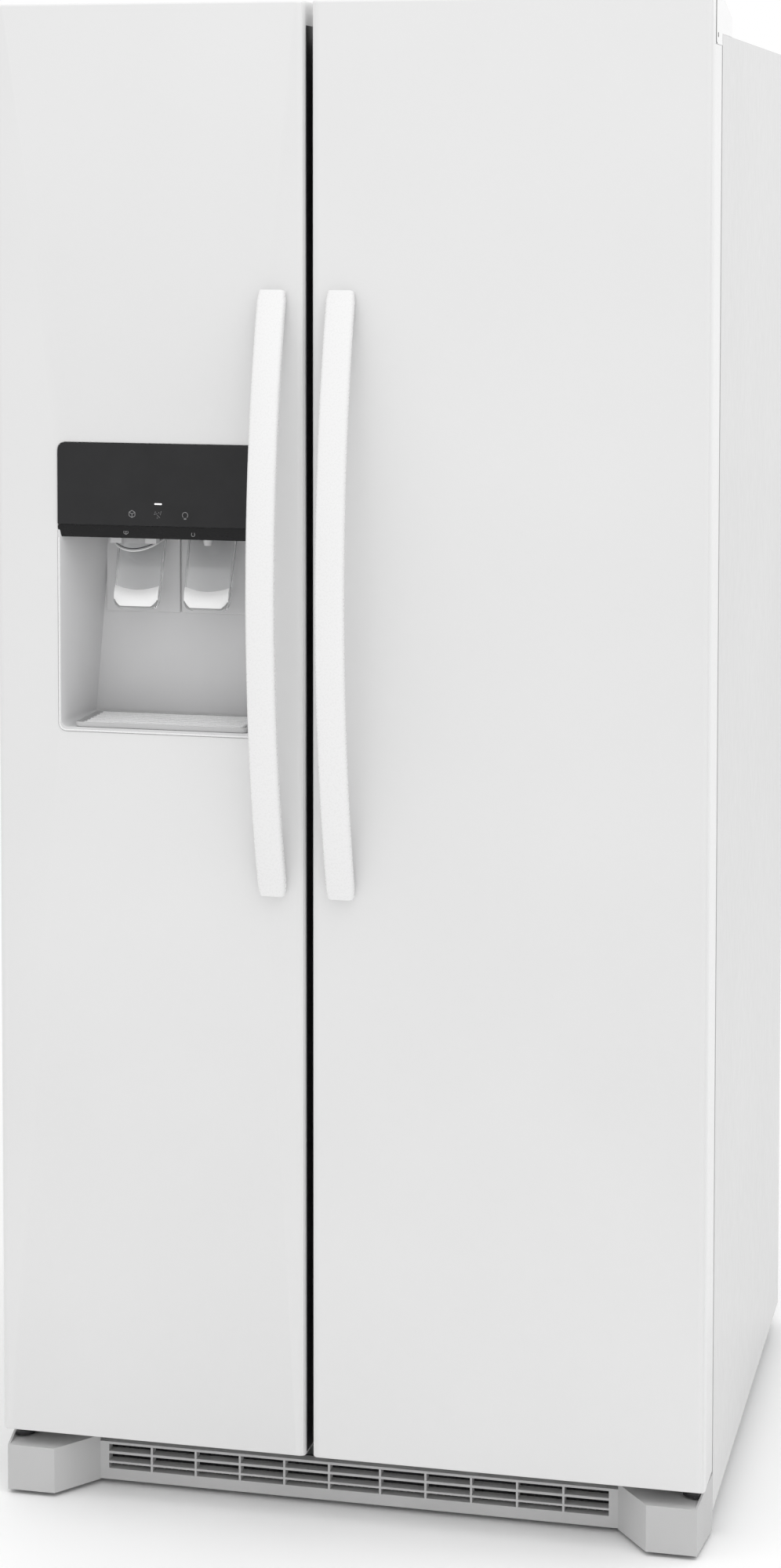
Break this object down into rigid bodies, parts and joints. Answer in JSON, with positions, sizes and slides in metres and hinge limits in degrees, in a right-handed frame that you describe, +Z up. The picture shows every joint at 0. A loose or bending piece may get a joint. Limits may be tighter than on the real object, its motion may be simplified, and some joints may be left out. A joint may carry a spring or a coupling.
{
  "type": "side by side refrigerator",
  "caption": "White side by side refrigerator with a freezer door ice and water dispenser, bowed bar handles, hinged doors, shelves, drawers and a slotted toe grille.",
  "frame": {"origin": "on the floor, under the middle of the overall box", "axes": "+Z up, the doors face -Y, +X to the right of someone who faces the doors"},
  "size_m": [0.838, 0.869, 1.765],
  "materials": {
    "white_paint": "semi-gloss white enamel with a very fine texture on the cabinet sides",
    "white_plastic": "satin white moulded plastic",
    "liner_plastic": "satin white vacuum-formed liner",
    "foam": "rigid polyurethane foam",
    "grey_plastic": "fine matt light grey plastic",
    "recess_plastic": "satin mid-grey moulded plastic",
    "black_gloss": "glossy near-black panel with a darker lower band",
    "clear_plastic": "clear moulded plastic",
    "gasket_rubber": "soft light grey vinyl",
    "glass": "tempered glass in a white rim",
    "coated_wire": "white epoxy-coated wire",
    "zinc": "zinc-plated steel",
    "galvanized": "galvanized steel sheet",
    "black_paint": "black enamel",
    "aluminium": "bare aluminium",
    "black_plastic": "black moulded plastic",
    "roller_plastic": "dark grey nylon"
  },
  "bodies": {
    "cabinet": {"cabinet_wrapper": "white_paint", "rear_panel": "galvanized", "cabinet_foam": "foam", "freezer_liner": "liner_plastic", "fresh_food_liner": "liner_plastic", "base_frame": "galvanized", "toe_grille": "grey_plastic", "machine_cover": "galvanized", "compressor": "black_paint", "condenser": "black_paint", "drain_pan": "black_plastic", "evaporator": "aluminium", "evaporator_cover": "white_plastic", "lower_hinge_left": "zinc", "lower_hinge_right": "zinc", "upper_hinge_left": "zinc", "upper_hinge_right": "zinc", "hinge_cover_left": "white_plastic", "hinge_cover_right": "white_plastic", "glass_shelf_low": "glass", "glass_shelf_middle": "glass", "glass_shelf_high": "glass", "crisper_cover": "glass", "freezer_shelf_low": "coated_wire", "freezer_shelf_high": "coated_wire", "control_housing": "white_plastic", "ice_maker": "grey_plastic"},
    "freezer_door": {"freezer_door_skin": "white_paint", "freezer_door_liner": "liner_plastic", "freezer_gasket": "gasket_rubber", "freezer_handle": "white_plastic", "dispenser_housing": "recess_plastic", "control_panel": "black_gloss", "drip_tray": "grey_plastic", "ice_chute": "black_plastic", "freezer_bin_low": "clear_plastic", "freezer_bin_high": "clear_plastic"},
    "fresh_food_door": {"fresh_food_door_skin": "white_paint", "fresh_food_door_liner": "liner_plastic", "fresh_food_gasket": "gasket_rubber", "fresh_food_handle": "white_plastic", "fresh_bin_low": "clear_plastic", "fresh_bin_high": "clear_plastic", "dairy_box": "clear_plastic"},
    "dairy_lid": {"dairy_lid": "clear_plastic"},
    "ice_paddle": {"ice_paddle": "clear_plastic"},
    "water_paddle": {"water_paddle": "clear_plastic"},
    "ice_chute_flap": {"ice_chute_flap": "black_plastic"},
    "lower_crisper": {"lower_crisper": "clear_plastic"},
    "upper_crisper": {"upper_crisper": "clear_plastic"},
    "freezer_basket": {"freezer_basket": "coated_wire"},
    "ice_bin": {"ice_bin": "clear_plastic"},
    "ice_auger": {"ice_auger": "aluminium"},
    "ice_feeler_arm": {"ice_feeler_arm": "zinc"},
    "evaporator_fan": {"evaporator_fan": "black_plastic"},
    "condenser_fan": {"condenser_fan": "black_plastic"},
    "front_roller_left": {"front_roller_left": "roller_plastic"},
    "front_roller_right": {"front_roller_right": "roller_plastic"},
    "rear_roller_left": {"rear_roller_left": "roller_plastic"},
    "rear_roller_right": {"rear_roller_right": "roller_plastic"}
  },
  "joints": [
    {"name": "freezer_door_hinge", "type": "hinge", "parent": "cabinet", "child": "freezer_door", "pos_m": [-0.405, -0.3285, 1], "axis": [0, 0, -1], "range_deg": [0, 120]},
    {"name": "fresh_food_door_hinge", "type": "hinge", "parent": "cabinet", "child": "fresh_food_door", "pos_m": [0.405, -0.3285, 1], "axis": [0, 0, 1], "range_deg": [0, 120]},
    {"name": "lower_crisper_slide", "type": "slide", "parent": "cabinet", "child": "lower_crisper", "axis": [0, -1, 0], "range_m": [0, 0.22]},
    {"name": "upper_crisper_slide", "type": "slide", "parent": "cabinet", "child": "upper_crisper", "axis": [0, -1, 0], "range_m": [0, 0.22]},
    {"name": "freezer_basket_slide", "type": "slide", "parent": "cabinet", "child": "freezer_basket", "axis": [0, -1, 0], "range_m": [0, 0.22]},
    {"name": "ice_bin_slide", "type": "slide", "parent": "cabinet", "child": "ice_bin", "axis": [0, -1, 0], "range_m": [0, 0.22]},
    {"name": "ice_auger_spin", "type": "hinge", "parent": "ice_bin", "child": "ice_auger", "pos_m": [-0.21868, 0, 1.362], "axis": [0, 1, 0], "continuous": true},
    {"name": "ice_feeler_arm_lift", "type": "hinge", "parent": "cabinet", "child": "ice_feeler_arm", "pos_m": [-0.22, 0, 1.588], "axis": [0, -1, 0], "range_deg": [0, 40]},
    {"name": "ice_paddle_press", "type": "hinge", "parent": "freezer_door", "child": "ice_paddle", "pos_m": [-0.26438, -0.285, 1.148], "axis": [1, 0, 0], "range_deg": [0, 12], "stiffness_Nm_per_rad": 0.4},
    {"name": "water_paddle_press", "type": "hinge", "parent": "freezer_door", "child": "water_paddle", "pos_m": [-0.17863, -0.285, 1.148], "axis": [1, 0, 0], "range_deg": [0, 12], "stiffness_Nm_per_rad": 0.4},
    {"name": "ice_chute_flap_tilt", "type": "hinge", "parent": "freezer_door", "child": "ice_chute_flap", "pos_m": [-0.26438, -0.299, 1.196], "axis": [1, 0, 0], "range_deg": [0, 60]},
    {"name": "dairy_lid_lift", "type": "hinge", "parent": "fresh_food_door", "child": "dairy_lid", "pos_m": [0.18, -0.1986, 1.624], "axis": [1, 0, 0], "range_deg": [0, 80]},
    {"name": "evaporator_fan_spin", "type": "hinge", "parent": "cabinet", "child": "evaporator_fan", "pos_m": [-0.21868, 0.3445, 1.15], "axis": [0, 1, 0], "continuous": true},
    {"name": "condenser_fan_spin", "type": "hinge", "parent": "cabinet", "child": "condenser_fan", "pos_m": [0.047, 0.2995, 0.1558], "axis": [1, 0, 0], "continuous": true},
    {"name": "front_roller_left_roll", "type": "hinge", "parent": "cabinet", "child": "front_roller_left", "pos_m": [-0.396, -0.2405, 0.02], "axis": [1, 0, 0], "continuous": true},
    {"name": "front_roller_right_roll", "type": "hinge", "parent": "cabinet", "child": "front_roller_right", "pos_m": [0.396, -0.2405, 0.02], "axis": [1, 0, 0], "continuous": true},
    {"name": "rear_roller_left_roll", "type": "hinge", "parent": "cabinet", "child": "rear_roller_left", "pos_m": [-0.396, 0.3795, 0.02], "axis": [1, 0, 0], "continuous": true},
    {"name": "rear_roller_right_roll", "type": "hinge", "parent": "cabinet", "child": "rear_roller_right", "pos_m": [0.396, 0.3795, 0.02], "axis": [1, 0, 0], "continuous": true}
  ],
  "couplings": [
    {"joint": "lower_crisper_slide", "follows": "fresh_food_door_hinge", "m_per_rad": 0.1},
    {"joint": "upper_crisper_slide", "follows": "fresh_food_door_hinge", "m_per_rad": 0.1},
    {"joint": "freezer_basket_slide", "follows": "freezer_door_hinge", "m_per_rad": 0.1},
    {"joint": "ice_bin_slide", "follows": "freezer_door_hinge", "m_per_rad": 0.1},
    {"joint": "ice_chute_flap_tilt", "follows": "ice_paddle_press", "ratio": 5}
  ]
}
